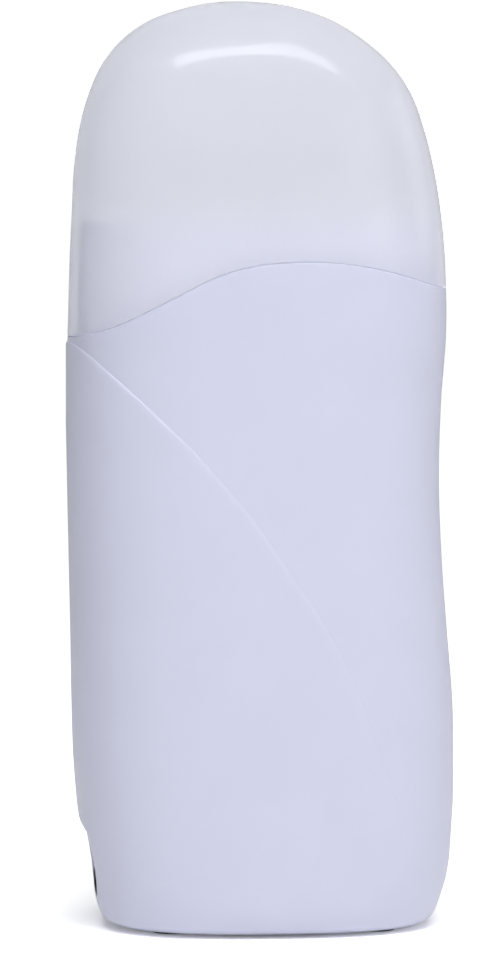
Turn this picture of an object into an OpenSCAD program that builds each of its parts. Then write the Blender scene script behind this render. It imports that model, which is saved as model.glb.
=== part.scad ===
// Roll-on wax cartridge heater with a lift-off cap.
// Millimetres, +Z up. The feet stand on z = 0, the broad front faces -Y,
// and the narrow side with the mains inlet faces -X.

/* [Casing] */
// Wall thickness of the two casing halves
wall = 2.2; // [2:0.1:2.3]
// Thickness of the casing floor
floor_t = 2.4; // [2:0.1:2.8]
// Squareness of the horizontal section (2 is an ellipse)
section_power = 2.6; // [2.5:0.05:2.8]

/* [Cap] */
// Wall thickness of the cap
cap_wall = 1.8; // [1.4:0.1:1.9]
// Gap between the cap's lower edge and the casing
cap_gap = 0.3; // [0.2:0.05:0.6]

/* [Neck] */
// Height of the neck's top face above the table
neck_top = 145; // [142:0.5:147]
// Distance from the outer surface to the neck's skirt
neck_inset = 2.5; // [2.4:0.1:2.8]
// Thickness of the neck's skirt
neck_wall = 1.8; // [1.4:0.1:2.2]

/* [Cartridge well] */
// Clear width of the well
well_w = 57; // [55:0.5:57.5]
// Clear depth of the well
well_d = 35; // [33:0.5:35.5]
// Corner radius of the well
well_r = 10; // [9:0.5:11]
// Thickness of the aluminium sleeve
sleeve_t = 1.2; // [1:0.1:1.4]

/* [Viewing window] */
// Width of the window opening
window_w = 18; // [14:0.5:19]
// Height of the window opening
window_h = 64; // [50:1:66]

/* [Mains inlet] */
// Radius of the inlet's contact pins
pin_r = 1.2; // [1.1:0.05:1.3]
// Distance between the pins
pin_pitch = 8.6; // [8.2:0.1:9]
// Depth of the inlet's socket
socket_depth = 9.5; // [8:0.5:11]

/* [Feet] */
// Height of the rubber feet
foot_h = 0.6; // [0.6:0.05:0.9]
// Diameter of the rubber feet
foot_d = 8; // [6:0.5:10]

/* [Hidden] */

// Outline, from the base to the crown: height, left edge, right edge, half depth
ST = [
    [0.6, -28.5, 32.0, 20.5], [1.2, -31.0, 34.3, 22.8], [2.6, -32.9, 35.8, 24.4],
    [6.0, -34.2, 37.2, 25.6], [12.0, -35.6, 38.8, 26.4], [22.0, -37.4, 39.7, 27.0],
    [34.0, -38.5, 39.9, 27.2], [46.0, -38.9, 39.7, 27.2], [60.0, -39.1, 38.6, 27.0],
    [76.0, -39.4, 37.4, 26.7], [92.0, -39.7, 36.8, 26.5], [108.0, -39.9, 37.2, 26.5],
    [122.0, -39.5, 38.2, 26.6], [136.0, -39.1, 38.0, 26.6], [147.0, -38.6, 37.0, 26.4],
    [156.0, -38.1, 35.5, 25.8], [164.0, -37.0, 33.5, 24.8], [171.0, -35.1, 30.9, 23.2],
    [177.0, -32.4, 26.8, 20.9], [182.0, -28.4, 21.2, 17.8], [186.0, -22.8, 14.8, 13.9],
    [188.6, -15.4, 7.4, 9.0], [189.8, -9.0, 0.4, 3.4], [190.0, -5.0, -4.0, 0.4]];
ST_N = len(ST) - 1;

// Parting line between the cap and the casing, seen from the front: x, height
SEAM = [
    [-42.0, 121.2], [-39.0, 121.5], [-35.0, 122.4], [-30.0, 124.2], [-24.5, 126.8],
    [-19.0, 129.6], [-14.0, 132.2], [-8.5, 134.5], [-3.0, 135.9], [2.0, 136.5],
    [7.5, 136.7], [13.0, 136.5], [18.0, 136.0], [23.5, 135.0], [29.0, 133.6],
    [33.0, 132.4], [38.0, 131.4], [42.0, 131.2]];

shell_base = foot_h;             // underside of the casing
floor_z = shell_base + floor_t;  // top of the casing floor
well_x = -0.8;                   // centre of the well
floor_plate_z = 28;              // underside of the well floor's flange
sleeve_z0 = floor_plate_z + 3;   // lower end of the sleeve
sleeve_z1 = neck_top - 9;        // upper end of the sleeve
sleeve_x = well_w / 2 + sleeve_t;
sleeve_y = well_d / 2 + sleeve_t;
left_face = well_x - sleeve_x;   // outer faces of the sleeve's narrow sides
right_face = well_x + sleeve_x;
heater_z0 = 45;
heater_z1 = 105;
heater_t = 3.6;
clamp_z = [60, 90];
window_z = 76;
inlet_z = 11;                    // height of the inlet's axis
inlet_face = -32.2;              // plane of the casing's inlet seat
screw_x = [-17, 20];
screw_z = 22;
lamp_z = 20;
board_y = 13.2;
led_y = board_y + 1.6;

body_col = [0.83, 0.84, 0.92];
cap_col = [0.90, 0.91, 0.95, 0.85];

// ---- outer surface -------------------------------------------------------

function spline(a, b, c, d, t) =
    0.5 * (2 * b + (c - a) * t + (2 * a - 5 * b + 4 * c - d) * t * t
           + (3 * b - a - 3 * c + d) * t * t * t);

// Outline at the station number u, between the listed ones
function st(u) = let (i = min(floor(max(u, 0)), ST_N - 1),
    p0 = i > 0 ? ST[i - 1] : 2 * ST[0] - ST[1],
    p3 = i + 2 <= ST_N ? ST[i + 2] : 2 * ST[ST_N] - ST[ST_N - 1])
    spline(p0, ST[i], ST[i + 1], p3, u - i);

// Station number at the height z
function uz(z, lo = 0, hi = ST_N, k = 20) = k == 0 ? (lo + hi) / 2 :
    let (m = (lo + hi) / 2) st(m)[0] < z ? uz(z, m, hi, k - 1) : uz(z, lo, m, k - 1);

function pw(v, e) = sign(v) * pow(abs(v), e);

// Point at the angle th of the section s, moved in by inset
function sec(s, th, inset = 0) = let (e = 2 / section_power)
    [(s[1] + s[2]) / 2 + ((s[2] - s[1]) / 2 - inset) * pw(cos(th), e),
     (s[3] - inset) * pw(sin(th), e), s[0]];

// Height of the parting line at x
function seam_i(x, i = 1) = (i >= len(SEAM) - 2 || SEAM[i + 1][0] > x) ? i : seam_i(x, i + 1);
function seam(x) = let (i = seam_i(x), a = SEAM[i], b = SEAM[i + 1],
    p0 = SEAM[i - 1], p3 = i + 2 < len(SEAM) ? SEAM[i + 2] : 2 * b - a,
    h = b[0] - a[0], t = min(max((x - a[0]) / h, 0), 1),
    ma = (b[1] - p0[1]) / (b[0] - p0[0]) * h, mb = (p3[1] - a[1]) / (p3[0] - a[0]) * h)
    (2 * t * t * t - 3 * t * t + 1) * a[1] + (t * t * t - 2 * t * t + t) * ma
    + (3 * t * t - 2 * t * t * t) * b[1] + (t * t * t - t * t) * mb;

// Height of the parting line in the direction th of the section
function top_at(th) = let (x0 = sec(st(uz(130)), th)[0], x1 = sec(st(uz(seam(x0))), th)[0])
    seam(x1);

function lerp(a, b, t) = a + (b - a) * t;
function unit(v) = v / norm(v);

// Two triangles for each cell of a grid with w points a row
function quads(rows, w, off, flip) = [for (i = [0:rows - 2], j = [0:w - 2])
    let (a = off + i * w + j, b = a + 1, c = a + w, d = c + 1)
    each flip ? [[a, b, c], [b, d, c]] : [[a, c, b], [b, c, d]]];

// The same for a closed ring of w points a row
function rings(rows, w, off, flip) = [for (i = [0:rows - 2], j = [0:w - 1])
    let (a = off + i * w + j, b = off + i * w + (j + 1) % w, c = a + w, d = b + w)
    each flip ? [[a, b, c], [b, d, c]] : [[a, c, b], [b, c, d]]];

// ---- casing --------------------------------------------------------------

shell_low = [shell_base, shell_base + 0.3, shell_base + 0.7, 2, 3.2, 5, 7, 9.5, 12, 15,
             18.5, 22, 26, 30, 36, 44, 52, 60, 68, 76, 84, 92, 100, 108];
shell_low_in = [floor_z, 5, 8, 12, 16, 20.5, 23, 30, 40, 50, 60, 70, 80, 92, 100, 108];
shell_high = [0.3, 0.6, 0.85, 1];

// Casing half with y < 0: one closed thin-walled solid, open at the top
module shell_half(cols = 40) {
    tops = [for (j = [0:cols]) top_at(180 + 180 * j / cols)];
    outer = [for (z = shell_low, j = [0:cols]) sec(st(uz(z)), 180 + 180 * j / cols)];
    outer2 = [for (f = shell_high, j = [0:cols])
        sec(st(uz(lerp(108, tops[j], f))), 180 + 180 * j / cols)];
    inner = [for (z = shell_low_in, j = [0:cols])
        let (p = sec(st(uz(z)), 180 + 180 * j / cols, wall))
        z < 21 ? [max(p[0], inlet_face), p[1], z] : p];
    inner2 = [for (f = shell_high, j = [0:cols])
        sec(st(uz(lerp(108, tops[j], f))), 180 + 180 * j / cols, wall)];
    w = cols + 1;
    no = len(shell_low) + len(shell_high);
    ni = len(shell_low_in) + len(shell_high);
    o = no * w;
    polyhedron(
        points = concat(outer, outer2, inner, inner2),
        faces = concat(
            quads(no, w, 0, false), quads(ni, w, o, true),
            // upper edge
            [for (j = [0:cols - 1]) let (a = (no - 1) * w + j, b = o + (ni - 1) * w + j)
                each [[a, b, a + 1], [a + 1, b, b + 1]]],
            // underside and floor
            [[for (j = [0:cols]) j], [for (j = [cols:-1:0]) o + j]],
            // parting faces: left, right and across the floor
            [concat([for (i = [0:ni - 1]) o + i * w], [for (i = [no - 1:-1:0]) i * w])],
            [concat([for (i = [ni - 1:-1:0]) o + i * w + cols], [for (i = [0:no - 1]) i * w + cols])],
            [[0, cols, o + cols, o]]),
        convexity = 6);
}

module rrect(w, d, r) {
    square([w - 2 * r, d], center = true);
    square([w, d - 2 * r], center = true);
    for (sx = [-1, 1], sy = [-1, 1])
        translate([sx * (w / 2 - r), sy * (d / 2 - r)]) circle(r, $fn = 48);
}

module stadium(w, h) {
    // longer side decides the direction
    r = min(w, h) / 2;
    if (w > h) {
        square([w - 2 * r, h], center = true);
        for (s = [-1, 1]) translate([s * (w / 2 - r), 0]) circle(r, $fn = 48);
    } else {
        square([w, h - 2 * r], center = true);
        for (s = [-1, 1]) translate([0, s * (h / 2 - r)]) circle(r, $fn = 48);
    }
}

// Prism along Y from y0 to y1 whose outline is drawn in X and Z
module along_y(y0, y1, x = 0, z = 0)
    translate([x, y1, z]) rotate([90, 0, 0]) linear_extrude(y1 - y0) children();

// Prism along X from x0 to x1 whose outline is drawn in Y and Z
module along_x(x0, x1, y = 0, z = 0)
    translate([x0, y, z]) rotate([90, 0, 90]) linear_extrude(x1 - x0) children();

module rod_y(r, y0, y1, x, z)
    translate([x, y1, z]) rotate([90, 0, 0]) cylinder(h = y1 - y0, r = r, $fn = 48);

module rod_x(r, x0, x1, y, z)
    translate([x0, y, z]) rotate([0, 90, 0]) cylinder(h = x1 - x0, r = r, $fn = 48);

module box(x0, x1, y0, y1, z0, z1)
    translate([x0, y0, z0]) cube([x1 - x0, y1 - y0, z1 - z0]);

// Slanted flat with a sloping roof, cut in the narrow side for the inlet
module inlet_niche()
    along_y(-30, 30) polygon([[-60, 1], [-32.72, 1], [-34.5, 19.5], [-38.6, 22.8], [-60, 22.8]]);

// Features that both halves share, drawn on the y < 0 half
module shell_ribs() {
    // ledges under the neck and hooks for its windows
    for (x = [-20, 18]) box(x - 4, x + 4, -23.4, -19.6, 107.5, 110);
    for (x = [-11, 9]) box(x - 3, x + 3, -24.9, -22.2, 116.3, 118.7);
    // cradle under the inlet
    for (x = [-30, -19.5]) box(x, x + 2, -8, -0.1, floor_z - 0.6, inlet_z - 5.4);
}

module front_shell() {
    color(body_col) resize([0, 0, 0]) difference() {
        union() {
            shell_half();
            shell_ribs();
            for (x = screw_x) rod_y(3.5, -23.2, -0.1, x, screw_z);
            // tongues that line up the two halves
            for (z = [50, 98]) {
                box(-38.1, -35.6, -6, -0.2, z, z + 8);
                box(-36.5, -35.6, -0.3, 4, z, z + 8);
            }
            for (z = [50, 98]) {
                box(33.4, (z == 50 ? 37.9 : 35.8), -6, -0.2, z, z + 8);
                box(33.4, (z == 50 ? 36.2 : 34.3), -0.3, 4, z, z + 8);
            }
        }
        for (x = screw_x) rod_y(1.3, -13, 1, x, screw_z);
        along_x(-45, inlet_face + 3, 0, inlet_z) stadium(15.8, 7.9);
        along_x(inlet_face, inlet_face + 17, 0, inlet_z) stadium(18.9, 11.1);
        inlet_niche();
    }
}

module back_shell() {
    color(body_col) resize([0, 0, 0]) difference() {
        union() {
            mirror([0, 1, 0]) shell_half();
            mirror([0, 1, 0]) shell_ribs();
            for (x = screw_x) rod_y(4, 0.1, 23.2, x, screw_z);
            // posts of the lamp board
            for (p = [[-8.5, 12.5], [7, 24.5]]) rod_y(2.4, led_y, 25.6, p[0], p[1]);
        }
        for (x = screw_x) {
            rod_y(1.7, -1, 9, x, screw_z);
            rod_y(3.2, 8, 30, x, screw_z);
        }
        for (p = [[-8.5, 12.5], [7, 24.5]]) rod_y(0.9, led_y - 1, 22, p[0], p[1]);
        along_y(21, 30, well_x, window_z) stadium(window_w, window_h);
        rod_y(2.5, 20, 30, well_x, lamp_z);
        along_x(-45, inlet_face + 3, 0, inlet_z) stadium(15.8, 7.9);
        along_x(inlet_face, inlet_face + 17, 0, inlet_z) stadium(18.9, 11.1);
        inlet_niche();
    }
}

// ---- neck ----------------------------------------------------------------

module neck_collar(cols = 48) {
    zo = [neck_top - 35, 114, 119, 125, 131, 136, neck_top - 3, neck_top - 0.9, neck_top - 0.3, neck_top];
    extra = [0, 0, 0, 0, 0, 0, 0, 0, 0.25, 0.85];
    zi = [neck_top - 35, 122, 134, neck_top - 2];
    outer = [for (i = [0:len(zo) - 1], j = [0:cols - 1])
        sec(st(uz(zo[i])), 360 * j / cols, neck_inset + extra[i])];
    inner = [for (z = zi, j = [0:cols - 1])
        sec(st(uz(z)), 360 * j / cols, neck_inset + neck_wall)];
    o = len(zo) * cols;
    color(body_col) difference() {
        union() {
            polyhedron(points = concat(outer, inner), faces = concat(
                rings(len(zo), cols, 0, false), rings(len(zi), cols, o, true),
                [for (j = [0:cols - 1]) let (k = (j + 1) % cols) each [[j, k, o + j], [k, o + k, o + j]]],
                [[for (j = [cols - 1:-1:0]) (len(zo) - 1) * cols + j]],
                [[for (j = [0:cols - 1]) o + (len(zi) - 1) * cols + j]]), convexity = 6);
            // socket that holds the sleeve
            translate([well_x, 0, neck_top - 17]) linear_extrude(15.6)
                rrect(well_w + 6.2, well_d + 6.2, well_r + 3.1);
        }
        translate([well_x, 0, neck_top - 18]) linear_extrude(20)
            rrect(well_w + 0.4, well_d + 0.4, well_r + 0.2);
        translate([well_x, 0, neck_top - 18]) linear_extrude(9)
            rrect(well_w + 2 * sleeve_t + 0.6, well_d + 2 * sleeve_t + 0.6, well_r + sleeve_t + 0.3);
        // windows for the casing's hooks
        for (x = [-11, 9], s = [-1, 1]) translate([x, s * 23, 117.5]) cube([7, 6, 3], center = true);
    }
}

// ---- well ----------------------------------------------------------------

module sleeve_hole_y(x, z) rod_y(1, -25, -10, x, z);

module heater_sleeve() {
    color("silver") difference() {
        translate([well_x, 0, sleeve_z0]) linear_extrude(sleeve_z1 - sleeve_z0) difference() {
            rrect(2 * sleeve_x, 2 * sleeve_y, well_r + sleeve_t);
            rrect(well_w, well_d, well_r);
        }
        along_y(10, 25, well_x, window_z) stadium(14, 58);
        for (z = clamp_z, s = [-1, 1]) rod_y(1, -25, -10, well_x + s * 15, z);
        for (s = [-1, 1]) rod_x(1, -35, -20, s * 5.9, 70);
        for (s = [-1, 1]) rod_x(1, 20, 35, s * 5.2, 65);
    }
}

module well_floor() {
    color([0.25, 0.26, 0.28]) {
        difference() {
            union() {
                translate([well_x, 0, floor_plate_z]) linear_extrude(3)
                    rrect(2 * sleeve_x + 1.6, 2 * sleeve_y + 1.6, well_r + 2);
                translate([well_x, 0, floor_plate_z + 2]) linear_extrude(3)
                    rrect(well_w - 0.4, well_d - 0.4, well_r - 0.2);
                for (x = [-24, 28], s = [-1, 1])
                    box(x - 2, x + 2, s * 11.3 - 1.7, s * 11.3 + 1.7, floor_z, floor_plate_z + 0.5);
            }
            // drain channel across the floor of the well
            translate([well_x, 0, floor_plate_z + 4.2]) linear_extrude(2) rrect(44, 7, 3);
        }
    }
}

module window_lens() {
    color([0.82, 0.88, 0.92, 0.5]) {
        along_y(22.3, 26.3, well_x, window_z) stadium(window_w - 0.4, window_h - 0.4);
        along_y(22.3, 23.7, well_x, window_z) stadium(window_w + 3.4, window_h + 3.4);
    }
}

// ---- heater --------------------------------------------------------------

module ptc_heater() {
    color([0.75, 0.76, 0.78]) translate([well_x, 0, 0]) difference() {
        box(-10.5, 10.5, -sleeve_y - heater_t, -sleeve_y, heater_z0, heater_z1);
        // pressed grooves along the case
        for (s = [-1, 1]) box(s * 8 - 0.4, s * 8 + 0.4, -sleeve_y - heater_t - 1, -sleeve_y - heater_t + 0.3, heater_z0 - 1, heater_z1 + 1);
    }
    // tails at the lower end
    color("ivory") for (s = [-1, 1])
        translate([well_x + s * 4, -sleeve_y - heater_t / 2, heater_z0 - 4]) cylinder(h = 4.5, r = 0.7, $fn = 32);
}

// Hat-shaped strap, drawn with its feet on y = 0 and its crown at y = -h
module hat2d(half, h, t, foot) {
    translate([-half - t, -h - t]) square([2 * half + 2 * t, t]);
    for (s = [-1, 1]) {
        translate([s > 0 ? half : -half - t, -h - t / 2]) square([t, h + t / 2]);
        translate([s > 0 ? half : -half - foot, -t]) square([foot, t]);
    }
}

module heater_clamps() {
    color([0.7, 0.71, 0.73]) for (z = clamp_z) difference() {
        translate([well_x, -sleeve_y, z - 4]) linear_extrude(8) hat2d(10.7, heater_t, 0.8, 7.5);
        for (s = [-1, 1]) rod_y(1, -25, -10, well_x + s * 15, z);
    }
}

module thermostat() {
    color([0.2, 0.2, 0.22])
        box(left_face - 3.8, left_face, -3.5, 3.5, 60, 80);
    color("silver") for (s = [-1, 1])
        translate([left_face - 2, s * 2, 56]) cylinder(h = 4.5, r = 0.7, $fn = 32);
}

module thermostat_clip() {
    color([0.7, 0.71, 0.73]) difference() {
        translate([left_face, 0, 67]) rotate([0, 0, -90]) linear_extrude(6) hat2d(3.6, 3.8, 0.5, 3.8);
        for (s = [-1, 1]) rod_x(1, -35, -20, s * 5.9, 70);
    }
}

module thermal_fuse() {
    color([0.85, 0.75, 0.5]) {
        translate([right_face + 2.1, 0, 60]) cylinder(h = 10, r = 2, $fn = 48);
        translate([right_face + 2.1, 0, 56]) cylinder(h = 18, r = 0.6, $fn = 32);
    }
}

module fuse_clip() {
    color([0.7, 0.71, 0.73]) difference() {
        translate([right_face, 0, 62.5]) rotate([0, 0, 90]) linear_extrude(5) hat2d(2.4, 4.2, 0.4, 4.6);
        for (s = [-1, 1]) rod_x(1, 20, 35, s * 5.2, 65);
    }
}

// Rivet along -Z: its head on a strap of thickness t over the sleeve wall
module rivet(t) {
    translate([0, 0, t]) cylinder(h = 0.6, r = 1.6, $fn = 32);
    translate([0, 0, -sleeve_t]) cylinder(h = sleeve_t + t + 0.3, r = 1, $fn = 32);
    translate([0, 0, -sleeve_t - 0.3]) cylinder(h = 0.3, r = 1.4, $fn = 32);
}

module sleeve_rivets() {
    color("gainsboro") {
        for (z = clamp_z, s = [-1, 1])
            translate([well_x + s * 15, -sleeve_y, z]) rotate([90, 0, 0]) rivet(0.8);
        for (s = [-1, 1]) translate([left_face, s * 5.9, 70]) rotate([0, -90, 0]) rivet(0.5);
        for (s = [-1, 1]) translate([right_face, s * 5.2, 65]) rotate([0, 90, 0]) rivet(0.4);
    }
}

// ---- indicator lamp ------------------------------------------------------

module lamp_board() {
    color([0.15, 0.4, 0.25]) difference() {
        box(-11, 9.5, board_y, led_y, 9.5, 27.5);
        for (p = [[-8.5, 12.5], [7, 24.5]]) rod_y(1.1, board_y - 1, led_y + 1, p[0], p[1]);
        for (x = [-4, 2]) rod_y(0.5, board_y - 1, led_y + 1, x, 12);
    }
    // series resistor and rectifier
    color([0.75, 0.65, 0.5]) rod_x(1.2, -5, 3, board_y - 1.2, 16.5);
    color([0.1, 0.1, 0.1]) rod_x(1.1, -7, -2.5, board_y - 1.1, 21.5);
}

module indicator_led() {
    color([0.9, 0.25, 0.2]) {
        rod_y(1.9, led_y, led_y + 1, well_x, lamp_z);
        rod_y(1.5, led_y, led_y + 4, well_x, lamp_z);
        translate([well_x, led_y + 4, lamp_z]) rotate([-90, 0, 0]) rotate_extrude($fn = 48)
            polygon(concat([[0, -0.1], [1.5, -0.1]], [for (a = [0:15:90]) [1.5 * cos(a), 1.2 * sin(a)]]));
    }
}

module lamp_lens() {
    color([0.95, 0.95, 0.97, 0.7]) {
        rod_y(2.4, 22, 26.9, well_x, lamp_z);
        rod_y(3.4, 22.4, 24.2, well_x, lamp_z);
    }
}

module board_screws() {
    color("gray") for (p = [[-8.5, 12.5], [7, 24.5]]) difference() {
        union() {
            rod_y(1.8, board_y - 1.2, board_y, p[0], p[1]);
            rod_y(0.9, board_y - 0.5, board_y + 7, p[0], p[1]);
        }
        translate([p[0] - 1.2, board_y - 1.6, p[1] - 0.2]) cube([2.4, 0.9, 0.4]);
        translate([p[0] - 0.2, board_y - 1.6, p[1] - 1.2]) cube([0.4, 0.9, 2.4]);
    }
}

// ---- mains inlet ---------------------------------------------------------

module inlet_housing() {
    color([0.09, 0.09, 0.1]) difference() {
        union() {
            along_x(inlet_face, inlet_face + 16, 0, inlet_z) stadium(18.6, 10.8);
            // rear flange
            along_x(inlet_face + 12, inlet_face + 14, 0, inlet_z) stadium(21, 10.8);
        }
        along_x(inlet_face - 1, inlet_face + socket_depth, 0, inlet_z) stadium(15.7, 7.9);
        for (s = [-1, 1]) rod_x(0.8, inlet_face, inlet_face + 20, s * pin_pitch / 2, inlet_z);
    }
}

module inlet_pins() {
    color([0.8, 0.78, 0.7]) for (s = [-1, 1]) {
        rod_x(pin_r, inlet_face + 1.2, inlet_face + socket_depth, s * pin_pitch / 2, inlet_z);
        rod_x(0.8, inlet_face + socket_depth - 0.5, inlet_face + 21, s * pin_pitch / 2, inlet_z);
    }
}

module solder_sleeves() {
    color([0.12, 0.12, 0.13]) for (s = [-1, 1]) difference() {
        rod_x(1.6, inlet_face + 18, inlet_face + 24, s * pin_pitch / 2, inlet_z);
        rod_x(1.05, inlet_face + 17, inlet_face + 25, s * pin_pitch / 2, inlet_z);
    }
}

// ---- leads ---------------------------------------------------------------

// Smooth line through the points p, k steps between two of them
function route(p, k) = let (n = len(p) - 1)
    [for (i = [0:n - 1], j = [0:k - 1])
        spline(i > 0 ? p[i - 1] : 2 * p[0] - p[1], p[i], p[i + 1],
               i + 2 <= n ? p[i + 2] : 2 * p[n] - p[n - 1], j / k), p[n]];

// Round lead of radius r along the points p
module lead(p, r, k = 3, sides = 8) {
    c = route(p, k);
    n = len(c) - 1;
    t = [for (i = [0:n]) unit(i == 0 ? c[1] - c[0] : i == n ? c[n] - c[n - 1] : c[i + 1] - c[i - 1])];
    first = unit(cross(t[0], abs(t[0][2]) < 0.9 ? [0, 0, 1] : [1, 0, 0]));
    side = [for (i = 0, v = first; i <= n; i = i + 1,
        v = i <= n ? unit(v - (v * t[i]) * t[i]) : v) v];
    pts = [for (i = [0:n], a = [0:sides - 1])
        c[i] + r * (cos(360 * a / sides) * side[i] + sin(360 * a / sides) * cross(t[i], side[i]))];
    polyhedron(points = pts, faces = concat(
        [for (i = [0:n - 1], a = [0:sides - 1]) let (b = (a + 1) % sides)
            each [[i * sides + a, (i + 1) * sides + a, i * sides + b],
                  [i * sides + b, (i + 1) * sides + a, (i + 1) * sides + b]]],
        [[for (a = [0:sides - 1]) a]],
        [[for (a = [sides - 1:-1:0]) n * sides + a]]), convexity = 8);
}

pin_end = inlet_face + 21;   // end of the inlet's solder tails

module lead_live() color([0.45, 0.25, 0.15])
    lead([[pin_end, -4.3, 11], [-8.4, -4.3, 11], [-6, -5.6, 11.3], [-5.6, -9.4, 12.2],
          [-8.5, -14, 13.5], [-15, -17.5, 14.5], [-23, -17, 15.5], [-29, -13.5, 19.5], [-33, -8.5, 26],
          [-33.8, -5, 36], [-33.4, -3, 48], [left_face - 2, -2, 56]], 0.8);

module lead_neutral() color([0.2, 0.35, 0.7])
    lead([[pin_end, 4.3, 11], [-8.4, 4.3, 11], [-5.6, 3.3, 10.5], [-3.4, 0.4, 9.8], [-2, -6, 9.5],
          [-2, -13.5, 11], [-4, -19.5, 17], [-5, -21.8, 27],
          [-4.8, -21.2, 36], [well_x - 4, -sleeve_y - heater_t / 2, heater_z0 - 4]], 0.8);

module lead_thermostat() color([0.85, 0.85, 0.82])
    lead([[left_face - 2, 2, 56], [-33.4, 3, 48], [-33.8, 5, 36], [-33, 8.5, 26],
          [-29.5, 13.5, 18], [-22, 16, 9.5], [-13, 10.5, 5.2], [-2, 8, 4.4], [11, 6, 4.8],
          [22, 4, 9], [29.5, 2.5, 17], [33.6, 1.5, 27], [33.6, 0.5, 40],
          [32, 0, 50], [right_face + 2.1, 0, 56]], 0.8);

module lead_fuse() color([0.85, 0.85, 0.82])
    lead([[right_face + 2.1, 0, 74], [31.2, -1.5, 78.5], [31.4, -6, 79], [30.8, -11, 70],
          [27.2, -16.9, 60], [20, -20.7, 50], [10, -21.5, 40.5], [4.6, -21.1, 36],
          [well_x + 4, -sleeve_y - heater_t / 2, heater_z0 - 4]], 0.8);

module lead_lamp_a() color([0.45, 0.25, 0.15])
    lead([[2, board_y - 0.1, 12], [2.6, 9.5, 13], [1, 3, 14.5], [-4, -2.5, 14.5],
          [-10, -4.3, 14.2], [-14.2, -4.3, 13.4], [-15, -4.3, 11.9]], 0.6);

module lead_lamp_b() color([0.2, 0.35, 0.7])
    lead([[-4, board_y - 0.1, 12], [-4.6, 10.5, 12.4], [-7.5, 7, 13.8],
          [-12, 4.6, 14], [-14.4, 4.3, 13.2], [-15, 4.3, 11.9]], 0.6);

// ---- fasteners and feet --------------------------------------------------

module shell_screws() {
    color("gray") for (x = screw_x) difference() {
        union() {
            rod_y(2.8, 8, 10.2, x, screw_z);
            rod_y(1.3, -11, 8.5, x, screw_z);
        }
        translate([x - 2, 9.3, screw_z - 0.3]) cube([4, 1.2, 0.6]);
        translate([x - 0.3, 9.3, screw_z - 2]) cube([0.6, 1.2, 4]);
    }
}

module foot_pads() {
    color([0.3, 0.3, 0.32]) for (x = [-19, 23], y = [-11, 11])
        translate([x, y, 0]) cylinder(h = foot_h, d = foot_d, $fn = 48);
}

// ---- cap -----------------------------------------------------------------

function cap_at(u, th, d) = let (p = sec(st(u), th)) d == 0 ? p :
    let (a = sec(st(u), th - 1), b = sec(st(u), th + 1),
         lo = sec(st(max(u - 0.04, 0)), th), hi = sec(st(min(u + 0.04, ST_N)), th))
    p - d * unit(cross(b - a, hi - lo));

module cap(cols = 56, rows = 18) {
    last = 22;
    u0 = [for (j = [0:cols - 1]) uz(top_at(360 * j / cols) + cap_gap)];
    outer = [for (i = [0:rows], j = [0:cols - 1])
        cap_at(lerp(u0[j], last, i / rows), 360 * j / cols, 0)];
    inner = [for (i = [0:rows], j = [0:cols - 1])
        cap_at(lerp(u0[j], last, i / rows), 360 * j / cols, cap_wall)];
    o = (rows + 1) * cols;
    color(cap_col) polyhedron(
        points = concat(outer, inner, [[-4.5, 0, 190], [-4.5, 0, 190 - cap_wall]]),
        faces = concat(
            rings(rows + 1, cols, 0, false), rings(rows + 1, cols, o, true),
            [for (j = [0:cols - 1]) let (k = (j + 1) % cols) each [
                [j, k, o + j], [k, o + k, o + j],
                [rows * cols + k, rows * cols + j, 2 * o],
                [o + rows * cols + j, o + rows * cols + k, 2 * o + 1]]]),
        convexity = 6);
}

front_shell();
back_shell();
neck_collar();
heater_sleeve();
well_floor();
window_lens();
ptc_heater();
heater_clamps();
thermostat();
thermostat_clip();
thermal_fuse();
fuse_clip();
sleeve_rivets();
lamp_board();
indicator_led();
lamp_lens();
board_screws();
inlet_housing();
inlet_pins();
solder_sleeves();
lead_live();
lead_neutral();
lead_thermostat();
lead_fuse();
lead_lamp_a();
lead_lamp_b();
shell_screws();
foot_pads();
cap();
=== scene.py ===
import math

import bmesh
import bpy
import numpy as np
from mathutils import Matrix, Vector


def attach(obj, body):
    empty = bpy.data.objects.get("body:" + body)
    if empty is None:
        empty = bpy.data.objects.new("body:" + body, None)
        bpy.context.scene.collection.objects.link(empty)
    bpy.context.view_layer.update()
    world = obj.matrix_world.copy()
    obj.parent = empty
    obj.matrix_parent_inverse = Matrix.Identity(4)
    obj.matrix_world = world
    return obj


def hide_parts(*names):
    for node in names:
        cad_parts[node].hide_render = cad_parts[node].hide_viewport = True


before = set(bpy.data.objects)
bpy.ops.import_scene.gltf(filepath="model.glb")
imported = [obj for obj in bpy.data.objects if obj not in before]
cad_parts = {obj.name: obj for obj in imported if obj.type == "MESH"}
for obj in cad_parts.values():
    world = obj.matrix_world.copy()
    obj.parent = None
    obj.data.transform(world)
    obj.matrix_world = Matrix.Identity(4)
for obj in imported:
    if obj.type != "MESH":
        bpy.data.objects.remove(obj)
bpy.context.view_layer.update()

# All shapes are worked out in millimetres and scaled to metres when a mesh is made.

# ---- outline of the object ----------------------------------------------------

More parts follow.
